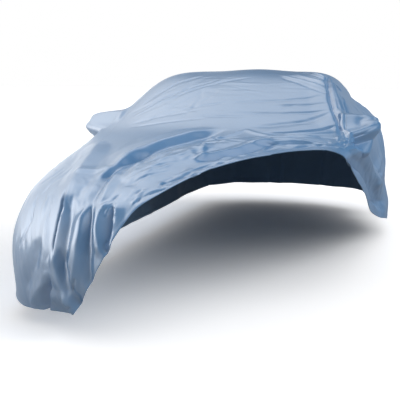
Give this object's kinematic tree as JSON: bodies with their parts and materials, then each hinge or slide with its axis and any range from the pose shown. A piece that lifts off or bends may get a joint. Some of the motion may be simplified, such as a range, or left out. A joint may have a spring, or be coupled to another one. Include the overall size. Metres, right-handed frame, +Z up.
{
  "type": "car cover",
  "caption": "Fitted cloth cover for a mid-size five-door car, hollow, with pockets for the door mirrors and its hem drawn back off the left front corner.",
  "frame": {"origin": "centre line under the roof, on the cloth's underside, where the cover rests on what carries it", "axes": "+Z up, front of the cover towards -Y, the cover's left side towards +X"},
  "size_m": [2.1467, 4.6405, 1.3051],
  "materials": {
    "cover_cloth": "smooth satin coated polyester, steel blue"
  },
  "bodies": {
    "root": {"centre_panel": "cover_cloth", "side_panel_right": "cover_cloth", "side_panel_left": "cover_cloth", "mirror_pocket_right": "cover_cloth", "mirror_pocket_left": "cover_cloth"}
  },
  "joints": []
}
